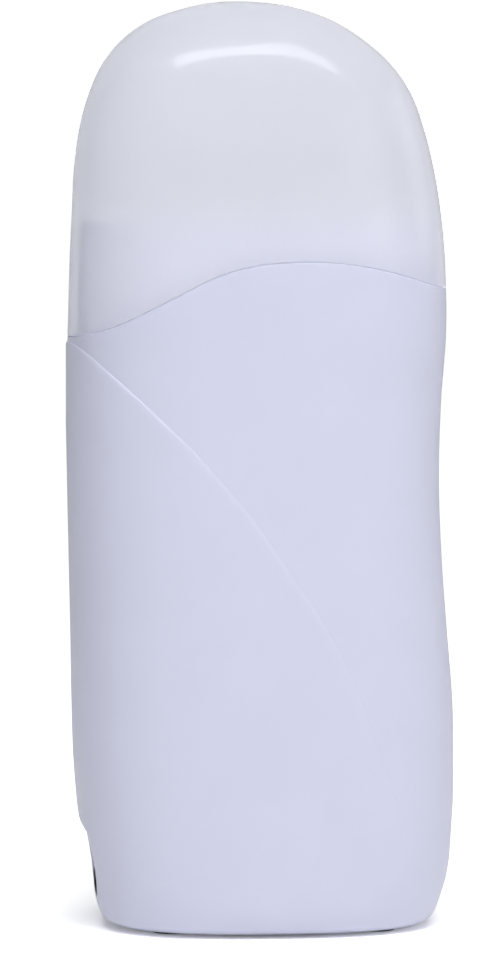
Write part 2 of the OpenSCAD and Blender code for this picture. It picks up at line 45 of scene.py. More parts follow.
# height, left edge, right edge, half depth
ST = np.array([
    [0.6, -28.5, 32.0, 20.5], [1.2, -31.0, 34.3, 22.8], [2.6, -32.9, 35.8, 24.4],
    [6.0, -34.2, 37.2, 25.6], [12.0, -35.6, 38.8, 26.4], [22.0, -37.4, 39.7, 27.0],
    [34.0, -38.5, 39.9, 27.2], [46.0, -38.9, 39.7, 27.2], [60.0, -39.1, 38.6, 27.0],
    [76.0, -39.4, 37.4, 26.7], [92.0, -39.7, 36.8, 26.5], [108.0, -39.9, 37.2, 26.5],
    [122.0, -39.5, 38.2, 26.6], [136.0, -39.1, 38.0, 26.6], [147.0, -38.6, 37.0, 26.4],
    [156.0, -38.1, 35.5, 25.8], [164.0, -37.0, 33.5, 24.8], [171.0, -35.1, 30.9, 23.2],
    [177.0, -32.4, 26.8, 20.9], [182.0, -28.4, 21.2, 17.8], [186.0, -22.8, 14.8, 13.9],
    [188.6, -15.4, 7.4, 9.0], [189.8, -9.0, 0.4, 3.4], [190.0, -5.0, -4.0, 0.4]])
POWER = 2.6
PAD = np.vstack([2 * ST[0] - ST[1], ST, 2 * ST[-1] - ST[-2]])
LAST = len(ST) - 1

SEAM = np.array([
    [-42.0, 121.2], [-39.0, 121.5], [-35.0, 122.4], [-30.0, 124.2], [-24.5, 126.8],
    [-19.0, 129.6], [-14.0, 132.2], [-8.5, 134.5], [-3.0, 135.9], [2.0, 136.5],
    [7.5, 136.7], [13.0, 136.5], [18.0, 136.0], [23.5, 135.0], [29.0, 133.6],
    [33.0, 132.4], [38.0, 131.4], [42.0, 131.2]])

# moulded edge of the raised panel, seen from the front: x, height
CREASE = np.array([
    [-42.0, 120.9], [-39.5, 120.5], [-37.0, 119.0], [-33.6, 116.0], [-29.6, 112.4],
    [-25.4, 108.6], [-20.5, 103.9], [-15.5, 99.1], [-11.1, 94.1], [-6.4, 88.8],
    [-3.6, 85.4], [0.2, 80.0], [3.6, 75.0], [5.9, 71.5], [8.9, 67.3], [12.5, 61.1],
    [15.5, 55.6], [17.9, 50.2], [21.8, 39.1], [23.8, 33.7], [26.0, 26.6],
    [28.5, 18.5], [31.0, 15.0], [35.0, 14.0], [42.0, 13.8]])

WELL_X = -0.8
WALL = 2.2


def outline(u):
    """height, left, right, half depth, and the same per step of u, at station number u"""
    u = np.clip(np.asarray(u, float), 0, LAST)
    i = np.minimum(np.floor(u).astype(int), LAST - 1)
    t = (u - i)[..., None]
    a, b, c, d = PAD[i], PAD[i + 1], PAD[i + 2], PAD[i + 3]
    k2, k3 = 2 * a - 5 * b + 4 * c - d, 3 * b - a - 3 * c + d
    return (0.5 * (2 * b + (c - a) * t + k2 * t ** 2 + k3 * t ** 3),
            0.5 * ((c - a) + 2 * k2 * t + 3 * k3 * t ** 2))


def station(z):
    z = np.asarray(z, float)
    lo, hi = np.zeros_like(z), np.full_like(z, float(LAST))
    for _ in range(34):
        m = (lo + hi) / 2
        low = outline(m)[0][..., 0] < z
        lo, hi = np.where(low, m, lo), np.where(low, hi, m)
    return (lo + hi) / 2


def spow(v, e):
    return np.sign(v) * np.abs(v) ** e


def surface(u, th, inset=0.0):
    """Points and outward unit normals of the outline surface. th in radians."""
    o, g = outline(u)
    e = 2 / POWER
    c, s = spow(np.cos(th), e), spow(np.sin(th), e)
    half, depth = (o[..., 2] - o[..., 1]) / 2, o[..., 3]
    mid = (o[..., 2] + o[..., 1]) / 2
    dhalf, ddepth, dmid = (g[..., 2] - g[..., 1]) / 2, g[..., 3], (g[..., 2] + g[..., 1]) / 2
    p = np.stack([mid + (half - inset) * c, (depth - inset) * s, o[..., 0] + 0 * c], -1)
    gx = spow(c, POWER - 1) / half
    gy = spow(s, POWER - 1) / depth
    gz = -(gx * (dmid + c * dhalf) + gy * s * ddepth)
    n = np.stack([gx * g[..., 0], gy * g[..., 0], gz], -1)
    return p, n / np.maximum(np.linalg.norm(n, axis=-1, keepdims=True), 1e-12)


def hermite(table, x):
    """Smooth curve through a table of x and value, and its slope"""
    tx, ty = table[:, 0], table[:, 1]
    m = np.gradient(ty, tx)
    m[1:-1] = (ty[2:] - ty[:-2]) / (tx[2:] - tx[:-2])
    x = np.clip(np.asarray(x, float), tx[0], tx[-1])
    i = np.clip(np.searchsorted(tx, x, side="right") - 1, 0, len(tx) - 2)
    h = tx[i + 1] - tx[i]
    t = (x - tx[i]) / h
    a, b, ma, mb = ty[i], ty[i + 1], m[i] * h, m[i + 1] * h
    v = (2 * t ** 3 - 3 * t ** 2 + 1) * a + (t ** 3 - 2 * t ** 2 + t) * ma \
        + (3 * t ** 2 - 2 * t ** 3) * b + (t ** 3 - t ** 2) * mb
    s = ((6 * t ** 2 - 6 * t) * a + (3 * t ** 2 - 4 * t + 1) * ma
         + (6 * t - 6 * t ** 2) * b + (3 * t ** 2 - 2 * t) * mb) / h
    return v, s


def smoothstep(a, b, x):
    t = np.clip((np.asarray(x, float) - a) / (b - a), 0, 1)
    return t * t * (3 - 2 * t)


def seam_height(th):
    """Height of the parting line between cap and casing in the direction th"""
    z = np.full_like(th, 130.0)
    for _ in range(12):
        z = hermite(SEAM, surface(station(z), th)[0][..., 0])[0]
    return z


def by_arc(z_ref, th0, th1, step):
    """Directions that cut the section at z_ref into equal lengths of about step"""
    th = np.linspace(th0, th1, 20001)
    p = surface(np.full_like(th, float(station(z_ref))), th)[0]
    arc = np.concatenate([[0], np.cumsum(np.linalg.norm(np.diff(p, axis=0), axis=1))])
    return np.interp(np.linspace(0, arc[-1], int(round(arc[-1] / step)) + 1), arc, th)


# ---- mesh helpers -------------------------------------------------------------

def make(name, verts, faces, smooth=True):
    me = bpy.data.meshes.new(name)
    me.from_pydata([tuple(v) for v in np.asarray(verts, float) * 0.001], [], [list(map(int, f)) for f in faces])
    bm = bmesh.new()
    bm.from_mesh(me)
    bmesh.ops.recalc_face_normals(bm, faces=bm.faces)
    bm.to_mesh(me)
    bm.free()
    me.update()
    if smooth:
        me.polygons.foreach_set("use_smooth", [True] * len(me.polygons))
    ob = bpy.data.objects.new(name, me)
    bpy.context.scene.collection.objects.link(ob)
    return ob


def ring_faces(rings, cols, closed=True, start=0):
    """Quads between successive rings of cols points each"""
    out = []
    n = cols if closed else cols - 1
    for i in range(rings - 1):
        for j in range(n):
            a, b = start + i * cols + j, start + i * cols + (j + 1) % cols
            out.append((a, b, b + cols, a + cols))
    return out


def loft(name, rings, cap_ends=True, loop=False, smooth=True):
    """Closed shape from rings with the same number of points"""
    rings = [np.asarray(r, float) for r in rings]
    n = len(rings[0])
    v = np.vstack(rings)
    f = ring_faces(len(rings), n)
    if loop:
        last = (len(rings) - 1) * n
        f += [(last + j, last + (j + 1) % n, (j + 1) % n, j) for j in range(n)]
    elif cap_ends:
        f.append(tuple(range(n)))
        f.append(tuple((len(rings) - 1) * n + j for j in range(n)))
    return make(name, v, f, smooth)


def boolean(target, cutter, op="DIFFERENCE", keep=False):
    m = target.modifiers.new("b", "BOOLEAN")
    m.operation, m.solver, m.object = op, "MANIFOLD", cutter
    dg = bpy.context.evaluated_depsgraph_get()
    me = bpy.data.meshes.new_from_object(target.evaluated_get(dg))
    old = target.data
    target.modifiers.remove(m)
    if len(me.polygons) < 4:
        raise RuntimeError(f"boolean on {target.name} with {cutter.name} left nothing")
    target.data = me
    bpy.data.meshes.remove(old)
    if not keep:
        bpy.data.objects.remove(cutter)
    return target


def shade(ob, angle=34):
    """Smooth faces, with the edges that are sharper than angle kept crisp"""
    me = ob.data
    me.polygons.foreach_set("use_smooth", [True] * len(me.polygons))
    bm = bmesh.new()
    bm.from_mesh(me)
    bmesh.ops.dissolve_degenerate(bm, dist=1e-7, edges=bm.edges)
    limit = math.radians(angle)
    for e in bm.edges:
        if len(e.link_faces) == 2:
            e.smooth = e.calc_face_angle(0) < limit
    bm.to_mesh(me)
    bm.free()
    me.update()
    return ob


def stadium_pts(w, h, n=48, grow=0.0):
    """Outline with round ends, w wide and h high, as points in a plane"""
    w, h = w + 2 * grow, h + 2 * grow
    r = min(w, h) / 2
    th = np.linspace(0, 2 * np.pi, n, endpoint=False) + np.pi / n
    c, s = np.cos(th), np.sin(th)
    if w > h:
        return np.stack([r * c + np.sign(c) * (w / 2 - r), r * s], -1)
    return np.stack([r * c, r * s + np.sign(s) * (h / 2 - r)], -1)


def rrect_pts(w, d, r, n=16, straight=8):
    """Rounded rectangle as points, starting at the middle of the right side"""
    pts = []
    corners = [(w / 2 - r, d / 2 - r, 0), (-w / 2 + r, d / 2 - r, 90),
               (-w / 2 + r, -d / 2 + r, 180), (w / 2 - r, -d / 2 + r, 270)]
    for k, (cx, cy, a0) in enumerate(corners):
        a = np.radians(a0 + np.linspace(0, 90, n))
        arc = np.stack([cx + r * np.cos(a), cy + r * np.sin(a)], -1)
        nxt = corners[(k + 1) % 4]
        b = np.radians(nxt[2])
        end = np.array([nxt[0] + r * np.cos(b), nxt[1] + r * np.sin(b)])
        t = np.linspace(0, 1, straight + 2)[1:-1, None]
        pts += [arc, arc[-1] * (1 - t) + end * t]
    return np.vstack(pts)


# ---- casing -------------------------------------------------------------------

def proud(z):
    """Height of the panel's edge over the surface beside it"""
    return np.interp(z, [14, 17, 34, 46, 61, 76, 92, 104, 108, 114, 118, 120.5, 125],
                     [0, .03, .11, .17, .25, .31, .35, .38, .36, .30, .33, .35, .35])


def sunk(z):
    """How far the surface beside the panel lies under the outline"""
    return np.interp(z, [14, 22, 34, 46, 60, 76, 92, 108, 122], [0, .06, .13, .2, .26, .32, .36, .4, 0])


def niche_plane(z):
    return np.interp(z, [1.0, 8.0, 12.3, 19.7, 22.1], [-33.6, -34.3, -34.5, -35.85, -37.7])


def casing_points(z, th, part):
    """Points of the casing's outside. part is 1 on the panel, 0 beside it."""
    p, n = surface(station(z), th)
    d = -sunk(z) * (1 - smoothstep(5, 35, p[..., 0])) + proud(z) * part
    p = p + n * d[..., None]
    # the slanted flat of the inlet, with a small round where it meets the side
    inside = (z > 0.9) & (z < 24.5)
    plane = np.where(z < 22.1, niche_plane(z), -37.7 - (z - 22.1) * 1.9)
    r = 0.35
    x = p[..., 0]
    soft = (x + plane + np.sqrt((x - plane) ** 2 + r * r)) / 2
    blend = smoothstep(0.9, 1.6, z)
    p[..., 0] = np.where(inside & (x < -20), x + (soft - x) * blend, x)
    return p


def zip_columns(a, b, za, zb):
    """Triangles between two columns of vertices whose heights may differ"""
    out, i, j = [], 0, 0
    while i < len(a) - 1 or j < len(b) - 1:
        if j == len(b) - 1 or (i < len(a) - 1 and abs(za[i + 1] - zb[j]) < abs(zb[j + 1] - za[i])):
            out.append((a[i], a[i + 1], b[j]))
            i += 1
        else:
            out.append((a[i], b[j + 1], b[j]))
            j += 1
    return out


def half_shell(name, side):
    """Casing half. side is -1 for the front and 1 for the back."""
    th = by_arc(80, math.pi, 2 * math.pi, 0.85)
    # two fine columns at each parting edge for the groove
    b_ref = 26.7
    fine = [math.asin((y / b_ref) ** (POWER / 2)) for y in (0.13, 0.34)]
    th = np.concatenate([[th[0]], math.pi + np.array(fine), th[1:-1], 2 * math.pi - np.array(fine[::-1]), [th[-1]]])
    cols = len(th)
    top = seam_height(th)

    # height of the panel's edge on each column
    zc = np.full(cols, 60.0)
    for _ in range(60):
        x = surface(station(zc), th)[0][:, 0]
        zc = zc + 0.5 * (np.clip(hermite(CREASE, x)[0], 13.5, top - 0.75) - zc)
    x = surface(station(zc), th)[0][:, 0]
    slope = hermite(CREASE, x)[1] * (1 - smoothstep(25.5, 29.5, x))
    k = np.sqrt(1 + slope ** 2)
    w = 1.0 + 0.6 * smoothstep(-30, 20, x)

    phi = np.radians([0, 16, 32, 46, 58, 69, 79, 90])
    roll = [(-1 + math.sin(f), math.cos(f)) for f in phi]          # share of w, profile
    low = [0.6, 0.66, 0.76, 0.9, 1.08, 1.3, 1.6, 2.0, 2.5, 3.1, 3.8, 4.6, 5.4, 6.2]
    low += list(np.arange(6.8, 24.6, 0.6))
    lip_r = 0.26
    grid = np.arange(25.5, 140, 1.15)

    verts, columns = [], []
    heights = []
    for j in range(cols):
        zb = zc[j] - w[j] * k[j]
        z_low = min(24.4, zb - 1.2)
        base = np.array(low)
        far = base > 6.3
        base[far] = 6.2 + (base[far] - 6.2) * (z_low - 6.2) / (low[-1] - 6.2)
        mid_b = grid[(grid > z_low + 0.5) & (grid < zb - 0.9)]
        near = np.array([zb - 0.45 * min(1, (zb - z_low) / 2)])
        edge = np.array([zc[j] + s * w[j] * k[j] for s, _ in roll])
        room = top[j] - lip_r - zc[j]
        above = zc[j] + np.array([0.12, 0.35, 0.8]) * k[j] * min(1, room / (1.1 * k[j]))
        above = np.array([zc[j] + room * f if room < 0.9 * k[j] else h
                          for f, h in zip((0.15, 0.4, 0.75), above)])
        mid_c = grid[(grid > above[-1] + 0.5) & (grid < top[j] - lip_r - 0.5)]
        segs = [(base, 1.0), (mid_b, 1.0), (near, 1.0), (edge, None), (above, 0.0), (mid_c, 0.0),
                (np.array([top[j] - lip_r]), 0.0)]
        z = np.concatenate([s[0] for s in segs])
        part = np.concatenate([np.full(len(s[0]), s[1]) if s[1] is not None else np.array([r[1] for r in roll])
                               for s in segs])
        p = casing_points(z, np.full(len(z), th[j]), part)
        if j in (0, cols - 1):       # groove along the parting edge
            n = surface(station(z), np.full(len(z), th[j]))[1]
            p = p - 0.16 * n
            p[:, 1] = 0.0
        columns.append((len(verts), [len(s[0]) for s in segs]))
        heights.append(z)
        verts += list(p)
    faces = []
    for j in range(cols - 1):
        (oa, na), (ob, nb) = columns[j], columns[j + 1]
        ia, ib = 0, 0
        for s in range(len(na)):
            fixed = s in (0, 2, 3, 4, 6)
            # a fixed segment: quads row by row; the seams between segments are zipped
            if fixed and na[s] > 1:
                for r in range(na[s] - 1):
                    a, b = oa + ia + r, ob + ib + r
                    faces.append((a, a + 1, b + 1, b))
            if s + 1 < len(na):
                if fixed:
                    # from this segment's last row over the free rows to the next fixed row
                    la, lb = ia + na[s] - 1, ib + nb[s] - 1
                    if s + 1 in (1, 5):
                        ea, eb = la + na[s + 1] + 1, lb + nb[s + 1] + 1
                    else:
                        ea, eb = la + 1, lb + 1
                    A, B = list(range(oa + la, oa + ea + 1)), list(range(ob + lb, ob + eb + 1))
                    if len(A) == 2 and len(B) == 2:
                        faces.append((A[0], A[1], B[1], B[0]))
                    else:
                        faces += zip_columns(A, B, heights[j][la:ea + 1], heights[j + 1][lb:eb + 1])
            ia += na[s]
            ib += nb[s]
    outer_last = [columns[j][0] + sum(columns[j][1]) - 1 for j in range(cols)]
    outer_first = [columns[j][0] for j in range(cols)]
    edge_cols = [list(range(columns[j][0], columns[j][0] + sum(columns[j][1]))) for j in (0, cols - 1)]

    def add_row(p):
        start = len(verts)
        verts.extend(list(p))
        return list(range(start, start + len(p)))

    def join(a, b):
        for j in range(len(a) - 1):
            faces.append((a[j], a[j + 1], b[j + 1], b[j]))

    # rounded lip and the inner wall
    rows = []
    for f in np.radians([22, 45, 68, 90]):
        p = surface(station(top - lip_r), th, lip_r * (1 - math.cos(f)))[0]
        p[:, 2] = top - lip_r * (1 - math.sin(f))
        rows.append(p)
    p = surface(station(top), th, 1.2)[0]
    rows.append(p)
    for f in np.radians([90, 45, 0]):
        p = surface(station(top), th, WALL - 0.2 * (1 - math.cos(f)) * 0 - 0.2 * math.sin(f))[0]
        p[:, 2] = top - 0.2 * (1 - math.sin(f))
        rows.append(p)
    for z in list(np.linspace(1, 0, 16)[1:]):
        zz = 110 + (top - 0.2 - 110) * z
        rows.append(surface(station(zz), th, WALL)[0])
    for z in [100, 90, 80, 70, 60, 50, 40, 30, 24, 20.5, 16, 12, 8, 5, 3.0]:
        p = surface(station(np.full(cols, float(z))), th, WALL)[0]
        if z < 21:
            p[:, 0] = np.maximum(p[:, 0], -32.2)
        rows.append(p)
    for p in rows:
        p[0, 1] = p[-1, 1] = 0.0
    prev = outer_last
    left_side, right_side = list(edge_cols[0]), list(edge_cols[1])
    for p in rows:
        cur = add_row(p)
        join(prev, cur)
        left_side.append(cur[0])
        right_side.append(cur[-1])
        prev = cur
    # floor on the inside and underside outside, drawn in towards the middle
    inner_mid = add_row([[1.5, 0.0, 3.0]])[0]
    for j in range(cols - 1):
        faces.append((prev[j], prev[j + 1], inner_mid))
    prev = outer_first
    under = []
    base = np.array([verts[i] for i in outer_first])
    mid = np.array([1.75, 0.0, 0.6])
    for s in (0.97, 0.85, 0.6, 0.3):
        p = mid + (base - mid) * s
        p[:, 2] = 0.6
        cur = add_row(p)
        join(cur, prev)
        under.append((cur[0], cur[-1]))
        prev = cur
    outer_mid = add_row([mid])[0]
    for j in range(cols - 1):
        faces.append((prev[j], prev[j + 1], outer_mid))
    # the flat parting face
    loop = [outer_mid] + [u[0] for u in under[::-1]] + left_side + [inner_mid] + right_side[::-1] + [u[1] for u in under]
    faces.append(tuple(loop))
    v = np.array(verts)
    if side > 0:
        v[:, 1] = -v[:, 1]
    return make(name, v, faces)


def cutter_y(pts, depth_in, surf, flare, side, cx, cz, out=31.0):
    """Cutter along Y whose rim opens in a round of radius flare at the casing's surface.
    pts(grow) gives its outline in X and Z."""
    rings = []
    base = pts(0.0)
    rings.append(np.stack([base[:, 0] + cx, np.full(len(base), side * depth_in), base[:, 1] + cz], -1))
    for f in np.radians([0, 25, 50, 70, 84]):
        q = pts(flare * (1 - math.cos(f)))
        y = surf(q[:, 0] + cx, q[:, 1] + cz) - flare * (1 - math.sin(f))
        rings.append(np.stack([q[:, 0] + cx, side * y, q[:, 1] + cz], -1))
    q = pts(flare + 0.05)
    y = surf(q[:, 0] + cx, q[:, 1] + cz) + 0.3
    rings.append(np.stack([q[:, 0] + cx, side * y, q[:, 1] + cz], -1))
    rings.append(np.stack([q[:, 0] + cx, np.full(len(q), side * out), q[:, 1] + cz], -1))
    return loft("cutter", rings)


def depth_at(x, z):
    """Half depth of the casing's outside at x and z"""
    o = outline(station(z))[0]
    half, mid = (o[..., 2] - o[..., 1]) / 2, (o[..., 2] + o[..., 1]) / 2
    y = o[..., 3] * (1 - np.clip(np.abs((x - mid) / half), 0, 1) ** POWER) ** (1 / POWER)
    return y - sunk(z) * (1 - smoothstep(5, 35, x)) + proud(z) * (z < hermite(CREASE, x)[0])


front = half_shell("casing_front", -1)
back = half_shell("casing_back", 1)


def inlet_cutter():
    pts = []
    rings = []
    q0 = stadium_pts(17.2, 9.3, 64)
    rings.append(np.stack([np.full(len(q0), -29.2), q0[:, 0], q0[:, 1] + 11], -1))
    for f in np.radians([0, 30, 60, 82]):
        q = stadium_pts(17.2, 9.3, 64, 0.2 * (1 - math.cos(f)))
        x = niche_plane(q[:, 1] + 11) + 0.2 * (1 - math.sin(f))
        rings.append(np.stack([x, q[:, 0], q[:, 1] + 11], -1))
    q = stadium_pts(17.2, 9.3, 64, 0.23)
    rings.append(np.stack([niche_plane(q[:, 1] + 11) - 0.4, q[:, 0], q[:, 1] + 11], -1))
    rings.append(np.stack([np.full(len(q), -45.0), q[:, 0], q[:, 1] + 11], -1))
    return loft("cutter", rings)


boolean(front, inlet_cutter())
boolean(back, inlet_cutter())
boolean(back, cutter_y(lambda g: stadium_pts(18, 64, 96, g), 20, depth_at, 0.6, 1, WELL_X, 76))
boolean(back, cutter_y(lambda g: stadium_pts(5.0, 5.0, 48, g), 20, depth_at, 0.35, 1, WELL_X, 20))


def rod(r, y0, y1, x, z, n=48):
    q = stadium_pts(2 * r, 2 * r, n)
    return loft("cutter", [np.stack([q[:, 0] + x, np.full(n, y), q[:, 1] + z], -1) for y in (y0, y1)])


for sx in (-17.0, 20.0):
    boolean(back, rod(4.0, 0.1, 25.0, sx, 22.0), "UNION")
    boolean(back, rod(1.7, -1.0, 9.0, sx, 22.0))
    boolean(back, cutter_y(lambda g: stadium_pts(6.4, 6.4, 48, g), 8.0, depth_at, 0.4, 1, sx, 22.0))

shade(front, 40)
shade(back, 40)


# ---- cap ----------------------------------------------------------------------

CAP_WALL = 1.6
CAP_GAP = 0.14


def build_cap():
    th = by_arc(100, math.pi / 2, math.pi / 2 + 2 * math.pi, 0.95)[:-1]
    cols = len(th)
    z0 = seam_height(th) + CAP_GAP
    # even steps along the meridian in front of the middle
    us = np.linspace(float(station(118.0)), 22.96, 4000)
    p = surface(us, np.full_like(us, 1.5 * math.pi))[0]
    arc = np.concatenate([[0], np.cumsum(np.linalg.norm(np.diff(p, axis=0), axis=1))])
    rows = 96
    ro, ri = 0.22, 0.16
    u0 = station(z0)
    a_end = arc[-1]

    def level(start_u, f):
        a0 = np.interp(start_u, us, arc)
        return np.interp(a0 + (a_end - a0) * f, arc, us)

    outer, inner = [], []
    for f in np.linspace(0, 1, rows):
        if f == 0:
            u = station(z0 + ro)
        else:
            u = level(station(z0 + ro), f)
        outer.append(surface(u, th)[0])
    for f in np.linspace(0, 1, rows):
        u = level(station(z0 + ri), f)
        q, n = surface(u, th)
        inner.append(q - CAP_WALL * n)
    # lower edge, rounded on both sides
    lip = []
    n0 = surface(station(z0 + ro), th)[1]
    base = outer[0]
    for f in np.radians([90, 66, 44, 22]):
        q = base - n0 * (ro * (1 - math.cos(f)))
        q[:, 2] = base[:, 2] - ro * math.sin(f)
        lip.append(q)
    ibase = inner[0]
    lip_in = []
    for f in np.radians([22, 44, 66, 90]):
        q = ibase + n0 * (ri * (1 - math.cos(f)))
        q[:, 2] = ibase[:, 2] - ri * math.sin(f)
        lip_in.append(q)
    # lip runs from the flat underside up to the outer wall
    rings = inner[::-1] + lip_in + lip + outer
    ob_v = np.vstack(rings)
    f = ring_faces(len(rings), cols)
    n_all = len(ob_v)
    top_in = np.array([[-4.5, 0.0, 190 - CAP_WALL]])
    top_out = np.array([[-4.5, 0.0, 189.998]])
    ob_v = np.vstack([ob_v, top_in, top_out])
    last = (len(rings) - 1) * cols
    f += [(j, (j + 1) % cols, n_all) for j in range(cols)]
    f += [(last + j, last + (j + 1) % cols, n_all + 1) for j in range(cols)]
    ob = make("cap_shell", ob_v, f)
    inner_faces = (len(inner) - 1) * cols
    index = np.zeros(len(ob.data.polygons), np.int32)
    index[:inner_faces] = 1
    index[(len(rings) - 1) * cols:(len(rings) - 1) * cols + cols] = 1
    return ob, index


cap, cap_index = build_cap()

# ---- neck ---------------------------------------------------------------------

NECK_TOP = 145.0
NECK_INSET = 1.95


def ray_rrect(th, w, d, r, cx):
    """Points of a rounded rectangle in the directions th from its centre"""
    pts = rrect_pts(w, d, r, 24, 40)
    a = np.unwrap(np.arctan2(pts[:, 1], pts[:, 0]))
    order = np.argsort(np.mod(a, 2 * np.pi))
    aa = np.mod(a, 2 * np.pi)[order]
    pp = pts[order]
    aa = np.concatenate([aa[-1:] - 2 * np.pi, aa, aa[:1] + 2 * np.pi])
    pp = np.vstack([pp[-1:], pp, pp[:1]])
    t = np.mod(th, 2 * np.pi)
    return np.stack([np.interp(t, aa, pp[:, 0]) + cx, np.interp(t, aa, pp[:, 1])], -1)


def build_neck():
    th = by_arc(130, 0, 2 * math.pi, 0.9)[:-1]
    cols = len(th)
    one = np.ones(cols)

    def skin(z, inset):
        return surface(station(z * one), th, inset)[0]

    def hole(z, w, d, r, grow=0.0):
        # directions of the outside's points seen from the middle of the well
        q = skin(130.0, NECK_INSET)
        ang = np.arctan2(q[:, 1] / d, (q[:, 0] - WELL_X) / w)
        ang = np.arctan2(np.sin(ang) * d, np.cos(ang) * w)
        xy = ray_rrect(ang, w + 2 * grow, d + 2 * grow, r + grow, WELL_X)
        return np.column_stack([xy, z * one])

    rings = []
    for z in (110.0, 111, 113, 116, 119, 121, 123, 125, 127, 129, 131, 133, 135, 137, 139, 141.0, 142.6):
        rings.append(skin(z, NECK_INSET))
    rh, rv = 1.2, 1.05
    for f in np.radians([0, 12, 24, 36, 48, 60, 72, 82, 90]):
        z = NECK_TOP - rv * (1 - math.sin(f))
        rings.append(skin(z, NECK_INSET + rh * (1 - math.cos(f))))
    # small raised rim round the mouth, then the round into the well
    rings.append(hole(NECK_TOP, 57.4, 35.4, 10.2, 1.6))
    for f in np.radians([90, 70, 50, 30, 10, 0]):
        rings.append(hole(NECK_TOP - 0.8 * (1 - math.sin(f)), 57.4, 35.4, 10.2, 0.8 * (1 - math.cos(f))))
    for z in (143.0, 141, 139, 137.5, 136.3):
        rings.append(hole(z, 57.4, 35.4, 10.2))
    rings.append(hole(136.0, 57.4, 35.4, 10.2, 0.15))
    rings.append(hole(136.0, 60.0, 38.0, 11.5))
    rings.append(hole(132.0, 60.0, 38.0, 11.5))
    rings.append(hole(128.0, 60.0, 38.0, 11.5))
    rings.append(hole(128.0, 63.2, 41.2, 13.1))
    rings.append(hole(135.0, 63.2, 41.2, 13.1))
    rings.append(hole(143.0, 63.2, 41.2, 13.1))
    rings.append(skin(143.0, 4.6))
    for z in (140.0, 134, 126, 118, 110):
        rings.append(skin(z, 4.3))
    ob = loft("neck_body", rings, loop=True)
    for x in (-11.0, 9.0):
        for s in (-1, 1):
            q = np.array([[x - 3.5, 116.0], [x + 3.5, 116.0], [x + 3.5, 119.0], [x - 3.5, 119.0]])
            boolean(ob, loft("cutter", [np.stack([q[:, 0], np.full(4, s * y), q[:, 1]], -1) for y in (20.0, 26.0)]))
    return shade(ob, 35)


neck = build_neck()

# ---- well sleeve and floor ----------------------------------------------------


def build_sleeve():
    def ring(z, w, d, r):
        q = rrect_pts(w, d, r, 20, 26)
        return np.column_stack([q[:, 0] + WELL_X, q[:, 1], np.full(len(q), z)])
    zs = list(np.linspace(31.4, 135.6, 30))
    rings = [ring(31.0, 59.0, 37.0, 11.0), ring(31.06, 59.28, 37.28, 11.14), ring(31.2, 59.4, 37.4, 11.2)]
    rings += [ring(z, 59.4, 37.4, 11.2) for z in zs]
    rings += [ring(135.8, 59.4, 37.4, 11.2), ring(135.94, 59.28, 37.28, 11.14), ring(136.0, 59.0, 37.0, 11.0)]
    rings += [ring(136.0, 57.4, 35.4, 10.2), ring(135.94, 57.12, 35.12, 10.06), ring(135.8, 57.0, 35.0, 10.0)]
    rings += [ring(z, 57.0, 35.0, 10.0) for z in zs[::-1]]
    rings += [ring(31.2, 57.0, 35.0, 10.0), ring(31.06, 57.12, 35.12, 10.06), ring(31.0, 57.4, 35.4, 10.2)]
    ob = loft("sleeve_wall", rings, loop=True)
    slot = stadium_pts(14, 58, 72)
    boolean(ob, loft("cutter", [np.stack([slot[:, 0] + WELL_X, np.full(len(slot), y), slot[:, 1] + 76], -1) for y in (10.0, 25.0)]))
    for z in (60.0, 90.0):
        for s in (-1, 1):
            boolean(ob, rod(1.0, -25.0, -10.0, WELL_X + s * 15, z, 24))
    for s in (-1, 1):
        for x0, x1, y, z in ((-35.0, -20.0, s * 5.9, 70.0), (20.0, 35.0, s * 5.2, 65.0)):
            q = stadium_pts(2.0, 2.0, 24)
            boolean(ob, loft("cutter", [np.stack([np.full(24, x), q[:, 0] + y, q[:, 1] + z], -1) for x in (x0, x1)]))
    return shade(ob, 35)


sleeve = build_sleeve()


def build_well_floor():
    def ring(z, w, d, r):
        q = rrect_pts(w, d, r, 16, 12)
        return np.column_stack([q[:, 0] + WELL_X, q[:, 1], np.full(len(q), z)])
    rings = [ring(28.0, 60.4, 38.4, 11.7), ring(28.3, 61.0, 39.0, 12.0), ring(30.8, 61.0, 39.0, 12.0),
             ring(31.0, 60.6, 38.6, 11.8), ring(31.0, 57.0, 35.0, 10.0), ring(31.0, 56.6, 34.6, 9.8),
             ring(32.6, 56.6, 34.6, 9.8), ring(32.88, 56.3, 34.3, 9.65), ring(33.0, 55.8, 33.8, 9.4),
             ring(33.0, 45.0, 8.0, 3.4), ring(32.9, 44.4, 7.4, 3.2), ring(32.4, 43.8, 6.8, 3.0), ring(32.2, 43.2, 6.2, 2.8)]
    ob = loft("well_base", rings)
    for x in (-24.0, 28.0):
        for s in (-1, 1):
            q = rrect_pts(4, 3.4, 0.5, 5, 1)
            leg = loft("cutter", [np.column_stack([q[:, 0] + x, q[:, 1] + s * 11.3, np.full(len(q), z)]) for z in (3.0, 28.5)])
            boolean(ob, leg, "UNION")
    return shade(ob, 35)


well_floor = build_well_floor()

# ---- window and lamp ----------------------------------------------------------


